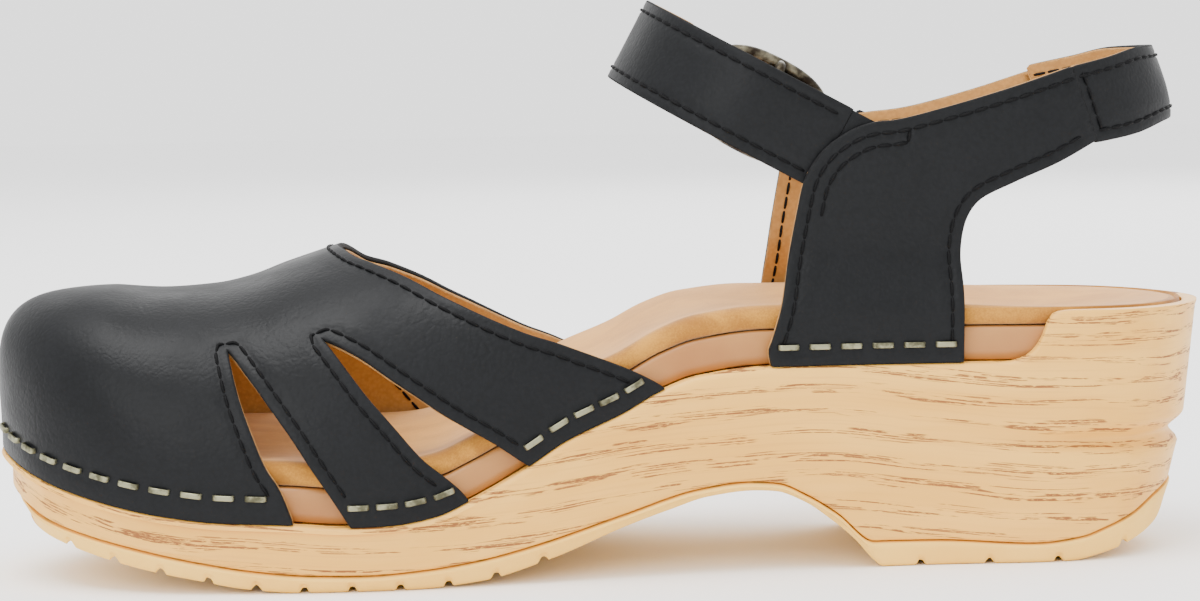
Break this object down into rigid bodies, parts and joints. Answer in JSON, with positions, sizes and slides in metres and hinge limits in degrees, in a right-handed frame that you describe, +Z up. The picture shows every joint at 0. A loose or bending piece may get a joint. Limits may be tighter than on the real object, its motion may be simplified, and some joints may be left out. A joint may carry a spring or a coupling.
{
  "type": "clog sandal",
  "caption": "Closed-toe clog sandal with a wood-look platform sole, a stapled cut-out leather vamp, a heel strap and a buckled ankle strap.",
  "frame": {"origin": "under the middle of the part's box, on the floor", "axes": "+Z up, +X from the toe to the heel, -Y the inner side of the foot, +Y the outer side"},
  "size_m": [0.2598, 0.097, 0.12],
  "materials": {
    "wood_look": "printed wood look on cast foam, satin",
    "tread": "plain cast foam, matt",
    "frame_plastic": "smooth satin",
    "foam": "matt",
    "suede": "suede",
    "black_leather": "semi-matt, fine grain, black thread",
    "tan_lining": "smooth, matt",
    "buckle_metal": "antiqued",
    "staple_metal": "dull grey brass"
  },
  "bodies": {
    "shoe": {"outsole": "tread", "sole_body": "wood_look", "staple_frame": "frame_plastic", "footbed_core": "foam", "footbed_cover": "suede", "vamp": "black_leather", "vamp_lining": "tan_lining", "inner_quarter": "black_leather", "inner_quarter_lining": "tan_lining", "outer_quarter": "black_leather", "outer_quarter_lining": "tan_lining", "heel_strap": "black_leather", "heel_strap_lining": "tan_lining", "ankle_strap_root": "black_leather", "buckle_tab": "black_leather", "keeper_loop": "black_leather", "staple_inner_middle_band_1": "staple_metal", "staple_inner_middle_band_2": "staple_metal", "staple_inner_middle_band_3": "staple_metal", "staple_inner_middle_band_4": "staple_metal", "staple_inner_quarter_1": "staple_metal", "staple_inner_quarter_2": "staple_metal", "staple_inner_quarter_3": "staple_metal", "staple_inner_quarter_4": "staple_metal", "staple_inner_quarter_5": "staple_metal", "staple_inner_quarter_6": "staple_metal", "staple_inner_rear_band_1": "staple_metal", "staple_inner_rear_band_2": "staple_metal", "staple_inner_rear_band_3": "staple_metal", "staple_inner_rear_band_4": "staple_metal", "staple_inner_rear_band_5": "staple_metal", "staple_outer_middle_band_1": "staple_metal", "staple_outer_middle_band_2": "staple_metal", "staple_outer_middle_band_3": "staple_metal", "staple_outer_middle_band_4": "staple_metal", "staple_outer_quarter_1": "staple_metal", "staple_outer_quarter_2": "staple_metal", "staple_outer_quarter_3": "staple_metal", "staple_outer_quarter_4": "staple_metal", "staple_outer_quarter_5": "staple_metal", "staple_outer_quarter_6": "staple_metal", "staple_outer_rear_band_1": "staple_metal", "staple_outer_rear_band_2": "staple_metal", "staple_outer_rear_band_3": "staple_metal", "staple_outer_rear_band_4": "staple_metal"},
    "strap": {"ankle_strap": "black_leather", "ankle_strap_lining": "tan_lining"},
    "buckle": {"buckle_frame": "buckle_metal"},
    "prong": {"buckle_prong": "buckle_metal"}
  },
  "joints": [
    {"name": "strap_open", "type": "hinge", "parent": "shoe", "child": "strap", "pos_m": [0.04733, -0.02771, 0.08846], "axis": [0.4772, 0, 0.8788], "range_deg": [0, 110], "deforming": ["ankle_strap", "ankle_strap_lining"]},
    {"name": "buckle_tilt", "type": "hinge", "parent": "shoe", "child": "buckle", "pos_m": [0.03771, 0.03039, 0.0963], "axis": [-0.4772, 0, -0.8788], "range_deg": [-20, 10], "deforming": ["ankle_strap", "ankle_strap_lining"]},
    {"name": "prong_lift", "type": "hinge", "parent": "buckle", "child": "prong", "pos_m": [0.03771, 0.03039, 0.0963], "axis": [-0.4772, 0, -0.8788], "range_deg": [0, 75], "deforming": ["ankle_strap", "ankle_strap_lining"]}
  ]
}
